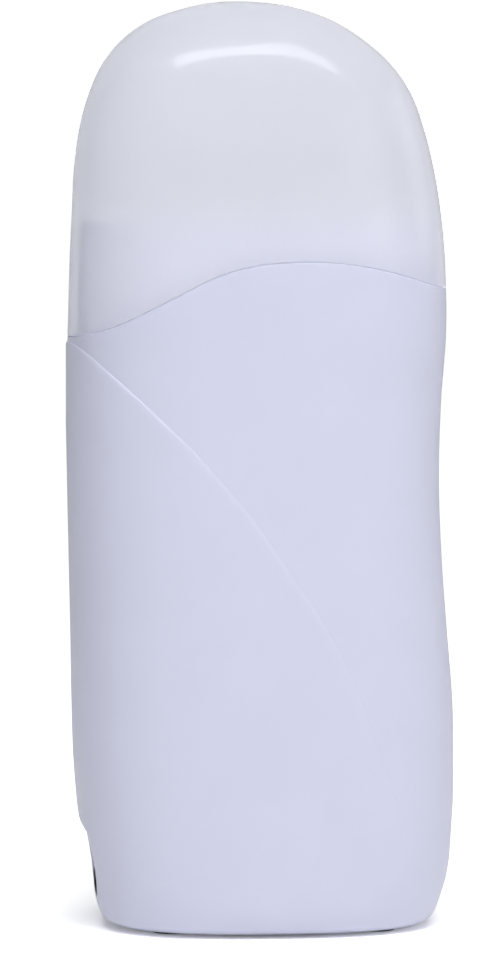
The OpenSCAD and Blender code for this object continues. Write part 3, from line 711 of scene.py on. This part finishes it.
def build_lens(name, pts, y_in, y_flange, flange, drop, cx, cz, edge):
    """Clear piece in an opening of the back: a flange inside and a crowned face that follows the casing"""
    q0 = pts(0.0)
    qf = pts(flange)
    surf = lambda q: depth_at(q[:, 0] + cx, q[:, 1] + cz) - drop

    def ring(q, y):
        return np.stack([q[:, 0] + cx, y + 0 * q[:, 0], q[:, 1] + cz], -1)
    rings = [ring(pts(flange - 0.3), y_in), ring(qf, y_in + 0.25), ring(qf, y_flange - 0.2), ring(pts(flange - 0.2), y_flange)]
    rings.append(ring(q0, y_flange))
    rings.append(ring(q0, surf(q0) - edge))
    for f in np.radians([22, 45, 68, 90]):
        q = pts(-edge * (1 - math.cos(f)))
        rings.append(ring(q, surf(q) - edge * (1 - math.sin(f))))
    # face drawn in towards the middle line
    for k in (0.8, 0.55, 0.3, 0.1):
        q = pts(-edge)
        c = q.copy()
        w = q[:, 0].max()
        long = np.abs(q[:, 1]).max() - w
        c[:, 0] = 0
        c[:, 1] = np.clip(q[:, 1], -max(long, 0), max(long, 0))
        m = c + (q - c) * k
        rings.append(ring(m, surf(m)))
    ob = loft(name, rings)
    return shade(ob, 40)


window = build_lens("window_pane", lambda g: stadium_pts(17.6, 63.6, 120, g), 22.3, 23.7, 1.9, 0.45, WELL_X, 76, 0.35)
lamp = build_lens("lamp_pane", lambda g: stadium_pts(4.8, 4.8, 48, g), 22.4, 24.2, 1.0, 0.25, WELL_X, 20, 0.3)

# ---- inlet, screws and feet ---------------------------------------------------


def build_inlet():
    def ring(x, w, h, n=72):
        q = stadium_pts(w, h, n)
        return np.stack([np.full(n, x), q[:, 0], q[:, 1] + 11.0], -1)
    rings = [ring(-22.7, 12.0, 4.2), ring(-22.7, 15.3, 7.5), ring(-22.9, 15.7, 7.9), ring(-33.5, 15.7, 7.9), ring(-33.75, 15.85, 8.05),
             ring(-33.95, 16.2, 8.4), ring(-33.95, 16.6, 8.7), ring(-33.85, 16.9, 9.0), ring(-33.65, 17.0, 9.1), ring(-32.2, 17.0, 9.1), ring(-32.2, 18.0, 10.2), ring(-32.1, 18.4, 10.6), ring(-31.8, 18.6, 10.8),
             ring(-20.2, 18.6, 10.8), ring(-20.2, 21.0, 10.8), ring(-18.2, 21.0, 10.8), ring(-18.2, 18.6, 10.8),
             ring(-16.5, 18.6, 10.8), ring(-16.2, 18.0, 10.2)]
    ob = loft("inlet_body", rings)
    for s in (-1, 1):
        q = stadium_pts(1.6, 1.6, 32)
        boolean(ob, loft("cutter", [np.stack([np.full(32, x), q[:, 0] + s * 4.3, q[:, 1] + 11], -1) for x in (-24.5, -12.0)]))
    return shade(ob, 35)


inlet = build_inlet()


def build_pins():
    parts = []
    for s in (-1, 1):
        prof = [(-11.2, 0.6), (-11.3, 0.8), (-22.7, 0.8), (-22.7, 1.2), (-30.3, 1.2)]
        for f in np.radians([20, 40, 60, 78]):
            prof.append((-30.3 - 0.7 * math.sin(f), 1.2 * math.cos(f)))
        rings = []
        for x, r in prof:
            a = np.linspace(0, 2 * np.pi, 40, endpoint=False)
            rings.append(np.stack([np.full(40, x), r * np.cos(a) + s * 4.3, r * np.sin(a) + 11], -1))
        parts.append(rings)
    n = 40
    v = np.vstack([np.vstack(r) for r in parts])
    k = len(parts[0])
    f = []
    for i in range(2):
        o = i * k * n
        f += ring_faces(k, n, start=o)
        f.append(tuple(o + j for j in range(n)))
        f.append(tuple(o + (k - 1) * n + j for j in range(n)))
    return shade(make("contact_pins", v, f), 35)


pins = build_pins()


def build_feet():
    v, f = [], []
    n = 56
    for x in (-19.0, 23.0):
        for y in (-11.0, 11.0):
            o = len(v)
            a = np.linspace(0, 2 * np.pi, n, endpoint=False)
            prof = [(3.9, 0.6), (4.0, 0.52), (4.0, 0.28), (3.93, 0.12), (3.76, 0.03), (3.5, 0.0), (2.2, 0.0), (1.0, 0.0)]
            for r, z in prof:
                v += list(np.stack([x + r * np.cos(a), y + r * np.sin(a), np.full(n, z)], -1))
            f += ring_faces(len(prof), n, start=o)
            f.append(tuple(o + j for j in range(n)))
            f.append(tuple(o + (len(prof) - 1) * n + j for j in range(n)))
    return shade(make("feet", v, f), 35)


feet = build_feet()


def build_screws():
    v, f = [], []
    n = 48
    a = np.linspace(0, 2 * np.pi, n, endpoint=False)
    prof = [(0.4, -11.0), (1.0, -10.6)]
    # rolled thread
    for k in range(14):
        y = -10.2 + k * 1.1
        prof += [(1.02, y), (1.3, y + 0.45), (1.3, y + 0.6), (1.02, y + 1.0)]
    prof += [(1.3, 5.6), (1.3, 8.0), (2.65, 8.0), (2.8, 8.15), (2.8, 9.0)]
    for t in np.radians([20, 40, 60, 78]):
        prof.append((0.8 + 2.0 * math.cos(t), 9.0 + 1.2 * math.sin(t)))
    for x in (-17.0, 20.0):
        o = len(v)
        for r, y in prof:
            v += list(np.stack([x + r * np.cos(a), np.full(n, y), 22 + r * np.sin(a)], -1))
        f += ring_faces(len(prof), n, start=o)
        f.append(tuple(o + j for j in range(n)))
        f.append(tuple(o + (len(prof) - 1) * n + j for j in range(n)))
    ob = make("casing_screws", v, f)
    for x in (-17.0, 20.0):
        for w, h in ((3.6, 0.62), (0.62, 3.6)):
            q = np.array([[-w / 2, -h / 2], [w / 2, -h / 2], [w / 2, h / 2], [-w / 2, h / 2]])
            boolean(ob, loft("cutter", [np.stack([q[:, 0] * g + x, np.full(4, y), q[:, 1] * g + 22], -1) for g, y in ((0.72, 9.1), (1.0, 11.0))]))
    return shade(ob, 30)


screws = build_screws()

for ob, nodes, slot, body in (
        (front, ["front_shell"], "shell_plastic", "housing"),
        (back, ["back_shell"], "shell_plastic", "housing"),
        (neck, ["neck_collar"], "shell_plastic", "housing"),
        (cap, ["cap"], "cap_plastic", "cap"),
        (sleeve, ["heater_sleeve"], "sleeve_aluminium", "housing"),
        (well_floor, ["well_floor"], "black_plastic", "housing"),
        (window, ["window_lens"], "clear_plastic", "housing"),
        (lamp, ["lamp_lens"], "clear_plastic", "housing"),
        (inlet, ["inlet_housing"], "black_plastic", "housing"),
        (pins, ["inlet_pins"], "pin_nickel", "housing"),
        (feet, ["foot_pads"], "foot_rubber", "housing"),
        (screws, ["shell_screws"], "screw_steel", "housing")):
    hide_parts(*nodes)
    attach(ob, body)


# ---- materials ----------------------------------------------------------------

class Mat:
    """A node material round one Principled shader, with helpers for the nodes that drive it"""

    def __init__(self, name, **sockets):
        self.m = bpy.data.materials.new(name)
        self.m.use_nodes = True
        self.nt = self.m.node_tree
        self.nt.nodes.clear()
        self.out = self.nt.nodes.new("ShaderNodeOutputMaterial")
        self.b = self.nt.nodes.new("ShaderNodeBsdfPrincipled")
        self.nt.links.new(self.b.outputs[0], self.out.inputs["Surface"])
        self.co = self.nt.nodes.new("ShaderNodeTexCoord").outputs["Object"]
        self.last_bump = None
        for k, v in sockets.items():
            self.b.inputs[k.replace("_", " ")].default_value = v

    def node(self, kind, **inputs):
        n = self.nt.nodes.new(kind)
        for k, v in inputs.items():
            if hasattr(v, "is_output"):
                self.nt.links.new(v, n.inputs[k])
            else:
                n.inputs[k].default_value = v
        return n

    def noise(self, size_mm, detail=2.0, rough=0.5, squeeze=None, distortion=0.0):
        co = self.co
        if squeeze:
            mp = self.node("ShaderNodeMapping", Vector=co)
            mp.inputs["Scale"].default_value = squeeze
            co = mp.outputs[0]
        n = self.node("ShaderNodeTexNoise", Vector=co, Scale=1000.0 / size_mm, Detail=detail, Roughness=rough,
                      Distortion=distortion)
        return n.outputs["Fac"]

    def ramp(self, fac, stops):
        n = self.node("ShaderNodeValToRGB", Fac=fac)
        e = n.color_ramp.elements
        e[0].position, e[1].position = stops[0][0], stops[-1][0]
        e[0].color, e[1].color = (*stops[0][1], 1), (*stops[-1][1], 1)
        for pos, col in stops[1:-1]:
            e.new(pos).color = (*col, 1)
        return n.outputs["Color"]

    def remap(self, fac, lo, hi, a=0.3, b=0.7):
        n = self.node("ShaderNodeMapRange", Value=fac)
        n.inputs["From Min"].default_value, n.inputs["From Max"].default_value = a, b
        n.inputs["To Min"].default_value, n.inputs["To Max"].default_value = lo, hi
        return n.outputs[0]

    def color(self, fac, stops):
        self.nt.links.new(self.ramp(fac, stops), self.b.inputs["Base Color"])

    def rough(self, fac, lo, hi):
        self.nt.links.new(self.remap(fac, lo, hi), self.b.inputs["Roughness"])

    def bump(self, height, strength, depth_mm):
        n = self.node("ShaderNodeBump", Height=height, Strength=strength, Distance=depth_mm / 1000)
        if self.last_bump is not None:
            self.nt.links.new(self.last_bump, n.inputs["Normal"])
        self.last_bump = n.outputs[0]
        self.nt.links.new(self.last_bump, self.b.inputs["Normal"])


def shade_of(c, f):
    return tuple(min(1.0, x * f) for x in c)


def moulded(name, c, lo, hi, grain=0.35, depth=0.004, swirl=0.012, tint=(1.0, 1.0, 1.0), **sockets):
    """Injection-moulded plastic: very fine grain, faint flow marks and uneven gloss"""
    m = Mat(name, **sockets)
    flow = m.noise(16.0, 4.0, 0.6, distortion=0.4)
    m.color(flow, [(0.3, tuple(x * (1 - swirl) * t for x, t in zip(c, tint))), (0.7, shade_of(c, 1 + swirl))])
    m.rough(m.noise(5.0, 3.0, 0.6), lo, hi)
    m.bump(m.noise(grain, 2.0, 0.5), 0.35, depth)
    m.bump(m.noise(22.0, 1.0, 0.4), 0.10, 0.05)
    return m.m


BODY = (0.640, 0.660, 0.812)

mats = {}
mats["shell_plastic"] = moulded("abs_lavender", BODY, 0.34, 0.42, IOR=1.5)
# lit copy of the lavender shell plastic for the neck: paler all over, painted light standing in for the light that
# reaches it through the cap
neck_lit_copy = moulded("abs_lavender_lit_copy", (0.795, 0.800, 0.850), 0.34, 0.42, IOR=1.5)
mats["black_plastic"] = moulded("abs_black", (0.018, 0.018, 0.021), 0.42, 0.55, grain=0.3, depth=0.01, swirl=0.08)
mats["grey_plastic"] = moulded("heat_grey", (0.045, 0.048, 0.056), 0.45, 0.6, grain=0.3, depth=0.012, swirl=0.08)


CAP_COLOR = (0.868, 0.885, 0.985)


def cap_material(name, cover, through, coat):
    """Milky sheet: part of the light passes straight on, part is scattered back and part is scattered on"""
    m = Mat(name, IOR=1.49)
    m.b.inputs["Coat Weight"].default_value = coat
    m.b.inputs["Coat Roughness"].default_value = 0.01
    m.b.inputs["Coat IOR"].default_value = 1.49
    flow = m.noise(18.0, 4.0, 0.6, distortion=0.5)
    col = m.ramp(flow, [(0.3, shade_of(CAP_COLOR, 0.985)), (0.7, shade_of(CAP_COLOR, 1.01))])
    m.nt.links.new(col, m.b.inputs["Base Color"])
    m.rough(m.noise(6.0, 3.0, 0.6), 0.30, 0.36)
    m.bump(m.noise(24.0, 1.0, 0.4), 0.10, 0.05)
    glow = m.node("ShaderNodeBsdfTranslucent", Color=col, Normal=m.last_bump)
    clear = m.node("ShaderNodeBsdfTransparent")
    milk, sheet = m.node("ShaderNodeMixShader"), m.node("ShaderNodeMixShader")
    milk.inputs[0].default_value, sheet.inputs[0].default_value = through, cover
    m.nt.links.new(m.b.outputs[0], milk.inputs[1])
    m.nt.links.new(glow.outputs[0], milk.inputs[2])
    m.nt.links.new(clear.outputs[0], sheet.inputs[1])
    m.nt.links.new(milk.outputs[0], sheet.inputs[2])
    m.nt.links.new(sheet.outputs[0], m.out.inputs["Surface"])
    return m.m


mats["cap_plastic"] = cap_material("pp_milky", 0.64, 0.42, 1.0)
cap_inside = cap_material("pp_milky_inside", 0.08, 0.50, 0.0)


def metal(name, c, lo, hi, streak=(1, 1, 0.03), size=0.25, depth=0.004, **sockets):
    """Metal with fine lines along one direction and patches of different gloss"""
    m = Mat(name, Metallic=1.0, **sockets)
    lines = m.noise(size, 3.0, 0.6, squeeze=streak)
    patch = m.noise(9.0, 3.0, 0.6)
    m.color(patch, [(0.3, shade_of(c, 0.93)), (0.7, shade_of(c, 1.04))])
    mix = m.node("ShaderNodeMath")
    mix.operation = "ADD"
    m.nt.links.new(lines, mix.inputs[0])
    m.nt.links.new(patch, mix.inputs[1])
    half = m.node("ShaderNodeMath")
    half.operation = "MULTIPLY"
    half.inputs[1].default_value = 0.5
    m.nt.links.new(mix.outputs[0], half.inputs[0])
    m.rough(half.outputs[0], lo, hi)
    m.bump(lines, 0.4, depth)
    return m.m


mats["sleeve_aluminium"] = metal("drawn_aluminium", (0.78, 0.79, 0.80), 0.24, 0.40)
mats["heater_case"] = metal("pressed_aluminium", (0.70, 0.71, 0.73), 0.30, 0.45, streak=(0.05, 1, 1))
mats["spring_steel"] = metal("strip_steel", (0.60, 0.61, 0.63), 0.22, 0.36, streak=(0.04, 1, 1))
mats["rivet_aluminium"] = metal("rivet_aluminium", (0.80, 0.80, 0.81), 0.28, 0.42, streak=(1, 1, 1), size=0.6)
mats["screw_steel"] = metal("zinc_steel", (0.50, 0.51, 0.54), 0.26, 0.44, streak=(1, 1, 1), size=0.5)
mats["pin_nickel"] = metal("nickel", (0.74, 0.71, 0.66), 0.14, 0.24, streak=(0.05, 1, 1), size=0.2, depth=0.002)


def clear_material():
    m = Mat("pc_clear", IOR=1.55, Transmission_Weight=1.0)
    m.color(m.noise(12.0, 3.0, 0.6), [(0.3, (0.90, 0.93, 0.955)), (0.7, (0.94, 0.96, 0.975))])
    m.rough(m.noise(5.0, 3.0, 0.6), 0.03, 0.09)
    m.bump(m.noise(9.0, 1.0, 0.4), 0.08, 0.03)
    return m.m


mats["clear_plastic"] = clear_material()


def fuse_material():
    m = Mat("ceramic_tan", IOR=1.55)
    m.color(m.noise(1.1, 3.0, 0.6), [(0.3, (0.60, 0.47, 0.25)), (0.7, (0.68, 0.55, 0.31))])
    m.rough(m.noise(0.8, 3.0, 0.6), 0.32, 0.48)
    m.bump(m.noise(0.5, 2.0, 0.5), 0.3, 0.01)
    return m.m


mats["fuse_ceramic"] = fuse_material()


def board_material():
    m = Mat("solder_mask", IOR=1.5)
    v = m.node("ShaderNodeTexVoronoi", Vector=m.co, Scale=420.0)
    v.feature = "DISTANCE_TO_EDGE"
    m.color(v.outputs["Distance"], [(0.0, (0.10, 0.32, 0.17)), (0.14, (0.10, 0.32, 0.17)), (0.18, (0.02, 0.13, 0.06)), (1.0, (0.02, 0.13, 0.06))])
    m.rough(m.noise(1.5, 3.0, 0.6), 0.26, 0.40)
    m.bump(v.outputs["Distance"], 0.25, 0.02)
    return m.m


mats["circuit_board"] = board_material()


def led_material():
    m = Mat("led_red_resin", IOR=1.5, Transmission_Weight=0.6)
    m.color(m.noise(1.2, 2.0, 0.5), [(0.3, (0.70, 0.04, 0.03)), (0.7, (0.82, 0.07, 0.05))])
    m.rough(m.noise(0.8, 2.0, 0.5), 0.08, 0.16)
    m.bump(m.noise(1.0, 1.0, 0.5), 0.1, 0.01)
    return m.m


mats["led_red"] = led_material()


def rubber(name, c, lo=0.5, hi=0.7, grain=0.3, depth=0.01, **sockets):
    m = Mat(name, IOR=1.5, **sockets)
    m.color(m.noise(2.5, 4.0, 0.6), [(0.3, shade_of(c, 0.9)), (0.7, shade_of(c, 1.08))])
    m.rough(m.noise(1.0, 3.0, 0.6), lo, hi)
    m.bump(m.noise(grain, 2.0, 0.5), 0.4, depth)
    return m.m


mats["heat_shrink"] = rubber("shrink_tube", (0.015, 0.015, 0.016), 0.38, 0.5, grain=0.8, depth=0.03)
mats["wire_brown"] = rubber("silicone_brown", (0.062, 0.018, 0.008), 0.36, 0.5)
mats["wire_blue"] = rubber("silicone_blue", (0.012, 0.04, 0.26), 0.36, 0.5)
mats["wire_white"] = rubber("silicone_white", (0.64, 0.64, 0.61), 0.36, 0.5)
mats["foot_rubber"] = rubber("foot_rubber", (0.085, 0.085, 0.09), 0.6, 0.8, grain=0.5, depth=0.02)


def dress(ob, *ms):
    ob.data.materials.clear()
    for m in ms:
        ob.data.materials.append(m)
    if len(ms) == 1:
        ob.data.polygons.foreach_set("material_index", [0] * len(ob.data.polygons))


for ob, slot in ((front, "shell_plastic"), (back, "shell_plastic"), (neck, "shell_plastic"), (sleeve, "sleeve_aluminium"),
                 (well_floor, "grey_plastic"), (window, "clear_plastic"), (lamp, "clear_plastic"), (inlet, "black_plastic"),
                 (pins, "pin_nickel"), (feet, "foot_rubber"), (screws, "screw_steel")):
    dress(ob, mats[slot])
# the neck gets the paler painted-light copy instead of the shell plastic
dress(neck, neck_lit_copy)
dress(cap, mats["cap_plastic"], cap_inside)
cap.data.polygons.foreach_set("material_index", cap_index)

INNER = {"ptc_heater": "heater_case", "heater_clamps": "spring_steel", "thermostat": "black_plastic",
         "thermostat_clip": "spring_steel", "thermal_fuse": "fuse_ceramic", "fuse_clip": "spring_steel",
         "sleeve_rivets": "rivet_aluminium", "lamp_board": "circuit_board", "indicator_led": "led_red",
         "board_screws": "screw_steel", "solder_sleeves": "heat_shrink", "lead_live": "wire_brown",
         "lead_neutral": "wire_blue", "lead_thermostat": "wire_white", "lead_fuse": "wire_white",
         "lead_lamp_a": "wire_brown", "lead_lamp_b": "wire_blue"}
for n, slot in INNER.items():
    dress(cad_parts[n], mats[slot])

# ---- floor, backdrop, lights and camera ---------------------------------------


def stage_sheet(name, drop, albedo, floor_glow, wall_glow, under):
    """Pale sweep: a floor that curves up into a wall behind the object, its glow faded out round the object's
    footprint as a painted shadow
    """
    prof = [(k * 0.5, 0.0) for k in range(1, 4)]
    for a in np.radians(np.linspace(0, 90, 19)):
        prof.append((2.0 + math.sin(a), 1 - math.cos(a)))
    prof.append((3.0, 3.5))
    prof = [(k * 0.5 - 3.0, 0.0) for k in range(7)] + prof
    v = [(x, y, z) for y, z in prof for x in (-3.5, 3.5)]
    f = [(2 * i, 2 * i + 1, 2 * i + 3, 2 * i + 2) for i in range(len(prof) - 1)]
    v = np.array(v) * 1000 - [0, 0, drop]
    ob = make(name, v, f)
    m = Mat(name + "_paper")
    tone = m.ramp(m.noise(60.0, 3.0, 0.6), [(0.3, (albedo * 0.99,) * 3), (0.7, (albedo * 1.01,) * 3)])
    # the wall behind glows as a lit backdrop does, the floor less
    flat = m.node("ShaderNodeMapping", Vector=m.co)
    flat.inputs["Scale"].default_value = (1.0, 1.0, 0.0)
    out = m.node("ShaderNodeVectorMath")
    out.operation = "LENGTH"
    m.nt.links.new(flat.outputs[0], out.inputs[0])
    glow = m.ramp(m.remap(out.outputs["Value"], 0.0, 1.0, 0.5, 1.6), [(0.0, (floor_glow,) * 3), (1.0, (wall_glow,) * 3)])
    m.bump(m.noise(3.0, 3.0, 0.6), 0.1, 0.02)
    lit = m.node("ShaderNodeBsdfDiffuse", Color=tone, Normal=m.last_bump)
    own = m.node("ShaderNodeEmission", Color=glow)
    # painted soft shadow round the object's base: the glow fades out towards where the object stands; distance from
    # its footprint, in footprints
    base = m.node("ShaderNodeMapping", Vector=m.co)
    base.inputs["Location"].default_value = (-0.056, 0.0, 0.0)
    base.inputs["Scale"].default_value = (1 / 0.031, 1 / 0.021, 0.0)
    painted_shadow_reach = m.node("ShaderNodeVectorMath")
    painted_shadow_reach.operation = "LENGTH"
    m.nt.links.new(base.outputs[0], painted_shadow_reach.inputs[0])
    # painted shadow: glow strength follows a ramp of the distance to the footprint
    m.nt.links.new(m.ramp(m.remap(painted_shadow_reach.outputs["Value"], 0.0, 1.0, 0.5, 5.7), under), own.inputs["Strength"])
    both = m.node("ShaderNodeAddShader")
    m.nt.links.new(lit.outputs[0], both.inputs[0])
    m.nt.links.new(own.outputs[0], both.inputs[1])
    m.nt.links.new(both.outputs[0], m.out.inputs["Surface"])
    ob.data.materials.append(m.m)
    return ob


# the sheet that the camera sees is lit up to white and lights nothing, and carries a painted soft shadow round the
# base; a darker one just under it gives the bounce, its glow likewise cut away under the object
sweep = stage_sheet("sweep", 0.0, 1.30, 0.45, 0.66,
                    [(0.0, (0.0,) * 3), (0.058, (0.15,) * 3), (0.096, (0.35,) * 3), (0.173, (0.5,) * 3), (0.288, (0.77,) * 3), (0.44, (1.0,) * 3)])
sweep.visible_diffuse = sweep.visible_glossy = sweep.visible_shadow = False
bounce = stage_sheet("bounce", 1.0, 0.80, 0.27, 0.23, [(0.096, (0.0,) * 3), (0.158, (1.0,) * 3)])
bounce.visible_camera = False


def area(name, loc, aim, w, h, power, color=(1, 1, 1), spin=0.0):
    li = bpy.data.lights.new(name, "AREA")
    li.shape, li.size, li.size_y, li.energy, li.color = "RECTANGLE", w, h, power, color
    ob = bpy.data.objects.new(name, li)
    bpy.context.scene.collection.objects.link(ob)
    d = Vector(aim) - Vector(loc)
    q = d.to_track_quat("-Z", "Y")
    ob.rotation_mode = "QUATERNION"
    ob.rotation_quaternion = q @ Matrix.Rotation(math.radians(spin), 3, "Z").to_quaternion()
    ob.location = loc
    return ob


# a long bowed diffuser over the object, which is the bright band that the cap's crown mirrors
at = np.linspace(-0.50, 0.73, 36)
knots = (-0.50, -0.30, -0.10, 0.06, 0.14, 0.22, 0.31, 0.42, 0.53, 0.65, 0.73)
near = hermite(np.column_stack([knots, (-0.765, -0.71, -0.66, -0.605, -0.57, -0.55, -0.565, -0.575, -0.60, -0.62, -0.64)]), at)[0]
far = hermite(np.column_stack([knots, (-0.53, -0.47, -0.475, -0.42, -0.325, -0.29, -0.30, -0.34, -0.38, -0.53, -0.615)]), at)[0]
strip = make("strip_above", [(x * 1000, y * 1000, 1170.0) for y_all in (near, far) for x, y in zip(at, y_all)],
             [(i, i + 1, i + 37, i + 36) for i in range(35)])
m = Mat("strip_diffuser")
split = m.node("ShaderNodeSeparateXYZ", Vector=m.co)
band = m.ramp(m.remap(split.outputs["X"], 0.0, 1.0, -0.50, 0.73), [(0.0, (0.9, 0.9, 0.9)), (0.38, (0.77, 0.77, 0.77)), (0.5, (1.0, 1.0, 1.0)), (0.61, (0.61, 0.61, 0.61)), (0.8, (0.70, 0.70, 0.70)), (1.0, (0.75, 0.75, 0.75))])
lamp_out = m.node("ShaderNodeEmission", Color=band)
lamp_out.inputs["Strength"].default_value = 10.0
m.nt.links.new(lamp_out.outputs[0], m.out.inputs["Surface"])
strip.data.materials.append(m.m)
strip.visible_camera = False
# the large softbox gives the even light and no mirror image of itself
key = area("overhead_front", (0.0, -1.0, 1.7), (0.0, 0.0, 0.05), 1.4, 1.4, 31.8)
key.visible_glossy = False


def softbox(name, azimuth, elevation, distance, size, power):
    """Square light aimed at the middle of the object; azimuth 0 is in front, 90 on the right"""
    a, e = math.radians(azimuth), math.radians(elevation)
    at = (distance * math.sin(a) * math.cos(e), -distance * math.cos(a) * math.cos(e), 0.09 + distance * math.sin(e))
    return area(name, at, (0.0, 0.0, 0.09), size, size, power)


softbox("front_right", 45, 18, 1.8, 0.9, 2.65)
softbox("right", 105, 18, 1.8, 0.9, 3.6)
softbox("back_right", 125, 12, 1.6, 0.9, 0.27)

world = bpy.data.worlds.new("studio")
bpy.context.scene.world = world
world.use_nodes = True
world.node_tree.nodes["Background"].inputs[0].default_value = (0.98, 0.99, 1.0, 1)
world.node_tree.nodes["Background"].inputs[1].default_value = 0.02

AZ, EL, DIST, TX, TZ = math.radians(-4.5), math.radians(3.2), 0.950, -0.0020, 0.0923
back_dir = Vector((math.sin(AZ) * math.cos(EL), -math.cos(AZ) * math.cos(EL), math.sin(EL)))
cam_data = bpy.data.cameras.new("camera")
cam_data.sensor_fit, cam_data.sensor_width, cam_data.lens = "AUTO", 36.0, 4610.0 / 955.0 * 36.0
cam_data.clip_start, cam_data.clip_end = 0.05, 50.0
camera = bpy.data.objects.new("camera", cam_data)
bpy.context.scene.collection.objects.link(camera)
camera.location = Vector((TX * math.cos(AZ), TX * math.sin(AZ), TZ)) + back_dir * DIST
camera.rotation_mode = "QUATERNION"
camera.rotation_quaternion = (-back_dir).to_track_quat("-Z", "Y")
bpy.context.scene.camera = camera
bpy.context.scene.view_settings.view_transform = "Standard"
bpy.context.scene.view_settings.look = "None"
